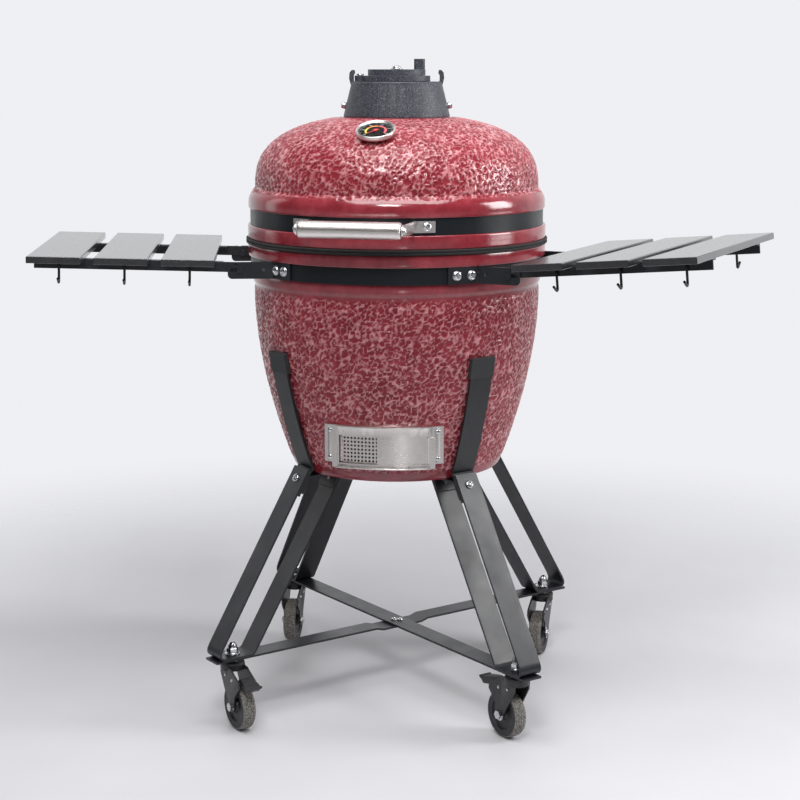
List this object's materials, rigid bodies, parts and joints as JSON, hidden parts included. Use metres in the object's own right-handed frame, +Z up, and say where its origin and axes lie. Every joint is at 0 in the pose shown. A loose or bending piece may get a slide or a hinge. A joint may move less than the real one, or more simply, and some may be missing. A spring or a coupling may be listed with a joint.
{
  "type": "kamado ceramic grill",
  "caption": "Egg-shaped ceramic charcoal grill with a hinged lid, cast-iron top vent, sliding draft door, fold-down side shelves and a wheeled steel cart.",
  "frame": {"origin": "on the floor under the grill's vertical axis, which is the middle of the whole object's footprint", "axes": "+Z up, -Y towards the front with the handle and draft door, +X to the right as seen from the front"},
  "size_m": [1.3851, 0.8184, 1.2031],
  "materials": {
    "glazed_red_ceramic": "glossy, dimpled",
    "fire_clay": "matt",
    "cast_iron": "rough black",
    "stainless": "brushed",
    "black_felt": "matt felt",
    "black_band": "satin black",
    "zinc": "bright zinc",
    "spring_steel": "dark steel",
    "dial_black": "matt",
    "needle_red": "satin",
    "lens_glass": "clear",
    "black_cart": "satin powder coat",
    "grey_pad": "matt",
    "fork_black": "satin",
    "grey_tyre": "worn grey",
    "hub_black": "matt",
    "dark_slat": "satin dark grey coating"
  },
  "bodies": {
    "root": {"base_bowl": "glazed_red_ceramic", "fire_box": "fire_clay", "fire_ring": "fire_clay", "charcoal_grate": "cast_iron", "cooking_grid": "stainless", "lower_gasket": "black_felt", "lower_band": "black_band", "base_bolts": "zinc", "hinge_bracket": "black_band", "hinge_pin": "zinc", "hinge_springs": "spring_steel", "draft_frame": "stainless", "leg_fl": "black_cart", "leg_fr": "black_cart", "leg_bl": "black_cart", "leg_br": "black_cart", "cradles": "black_cart", "cradle_pads": "grey_pad", "brace_bars": "black_cart", "cart_bolts": "zinc", "caster_stems": "zinc", "shelf_brackets": "black_cart"},
    "lid": {"lid_dome": "glazed_red_ceramic", "upper_gasket": "black_felt", "upper_band": "black_band", "hinge_arm": "black_band", "handle_brackets": "stainless", "handle_grip": "stainless", "lid_bolts": "zinc", "thermometer_case": "stainless", "thermometer_dial": "dial_black", "thermometer_lens": "lens_glass", "vent_base": "cast_iron"},
    "needle": {"thermometer_needle": "needle_red"},
    "vent_plate": {"vent_plate": "cast_iron", "vent_wheel_screw": "zinc"},
    "vent_wheel": {"vent_wheel": "cast_iron"},
    "draft_door": {"draft_door": "stainless"},
    "draft_screen": {"draft_screen": "stainless"},
    "shelf_left": {"shelf_left_rails": "black_cart", "shelf_left_slats": "dark_slat", "shelf_left_hooks": "black_cart"},
    "shelf_right": {"shelf_right_rails": "black_cart", "shelf_right_slats": "dark_slat", "shelf_right_hooks": "black_cart"},
    "caster_fl": {"fork_fl": "fork_black"},
    "wheel_fl": {"tyre_fl": "grey_tyre", "hub_fl": "hub_black"},
    "pedal_fl": {"brake_pedal_fl": "fork_black"},
    "caster_fr": {"fork_fr": "fork_black"},
    "wheel_fr": {"tyre_fr": "grey_tyre", "hub_fr": "hub_black"},
    "pedal_fr": {"brake_pedal_fr": "fork_black"},
    "caster_bl": {"fork_bl": "fork_black"},
    "wheel_bl": {"tyre_bl": "grey_tyre", "hub_bl": "hub_black"},
    "caster_br": {"fork_br": "fork_black"},
    "wheel_br": {"tyre_br": "grey_tyre", "hub_br": "hub_black"}
  },
  "joints": [
    {"name": "lid_hinge", "type": "hinge", "parent": "root", "child": "lid", "pos_m": [0, 0.33, 0.8866], "axis": [-1, 0, 0], "range_deg": [0, 75]},
    {"name": "needle_turn", "type": "hinge", "parent": "lid", "child": "needle", "pos_m": [-0.00244, -0.19998, 1.0703], "axis": [0.005, 0.4067, -0.9135], "range_deg": [0, 250]},
    {"name": "vent_plate_swing", "type": "hinge", "parent": "lid", "child": "vent_plate", "pos_m": [-0.06635, -0.00932, 1.167], "axis": [0, 0, 1], "range_deg": [0, 75]},
    {"name": "vent_wheel_turn", "type": "hinge", "parent": "vent_plate", "child": "vent_wheel", "pos_m": [0, 0, 1.177], "axis": [0, 0, 1], "continuous": true},
    {"name": "draft_door_slide", "type": "hinge", "parent": "root", "child": "draft_door", "pos_m": [0, 0, 0.52], "axis": [0, 0, 1], "range_deg": [-20, 0]},
    {"name": "draft_screen_slide", "type": "hinge", "parent": "root", "child": "draft_screen", "pos_m": [0, 0, 0.52], "axis": [0, 0, 1], "range_deg": [0, 17]},
    {"name": "shelf_right_fold", "type": "hinge", "parent": "root", "child": "shelf_right", "pos_m": [0.27762, -0.08382, 0.833], "axis": [0.289, 0.9573, 0], "range_deg": [0, 90]},
    {"name": "shelf_left_fold", "type": "hinge", "parent": "root", "child": "shelf_left", "pos_m": [-0.28199, -0.0677, 0.833], "axis": [0.2334, -0.9724, 0], "range_deg": [0, 90]},
    {"name": "swivel_fl", "type": "hinge", "parent": "root", "child": "caster_fl", "pos_m": [-0.261, -0.261, 0.112], "axis": [0, 0, 1], "continuous": true},
    {"name": "roll_fl", "type": "hinge", "parent": "caster_fl", "child": "wheel_fl", "pos_m": [-0.24282, -0.28229, 0.044], "axis": [0.7604, 0.6494, 0], "continuous": true},
    {"name": "pedal_fl_press", "type": "hinge", "parent": "caster_fl", "child": "pedal_fl", "pos_m": [-0.22593, -0.30206, 0.091], "axis": [0.7604, 0.6494, 0], "range_deg": [0, 14]},
    {"name": "swivel_fr", "type": "hinge", "parent": "root", "child": "caster_fr", "pos_m": [0.261, -0.261, 0.112], "axis": [0, 0, 1], "continuous": true},
    {"name": "roll_fr", "type": "hinge", "parent": "caster_fr", "child": "wheel_fr", "pos_m": [0.24173, -0.24069, 0.044], "axis": [-0.7254, -0.6884, 0], "continuous": true},
    {"name": "pedal_fr_press", "type": "hinge", "parent": "caster_fr", "child": "pedal_fr", "pos_m": [0.22383, -0.22183, 0.091], "axis": [-0.7254, -0.6884, 0], "range_deg": [0, 14]},
    {"name": "swivel_bl", "type": "hinge", "parent": "root", "child": "caster_bl", "pos_m": [-0.261, 0.261, 0.112], "axis": [0, 0, 1], "continuous": true},
    {"name": "roll_bl", "type": "hinge", "parent": "caster_bl", "child": "wheel_bl", "pos_m": [-0.261, 0.233, 0.044], "axis": [1, 0, 0], "continuous": true},
    {"name": "swivel_br", "type": "hinge", "parent": "root", "child": "caster_br", "pos_m": [0.261, 0.261, 0.112], "axis": [0, 0, 1], "continuous": true},
    {"name": "roll_br", "type": "hinge", "parent": "caster_br", "child": "wheel_br", "pos_m": [0.2571, 0.23327, 0.044], "axis": [0.9903, -0.1392, 0], "continuous": true}
  ]
}
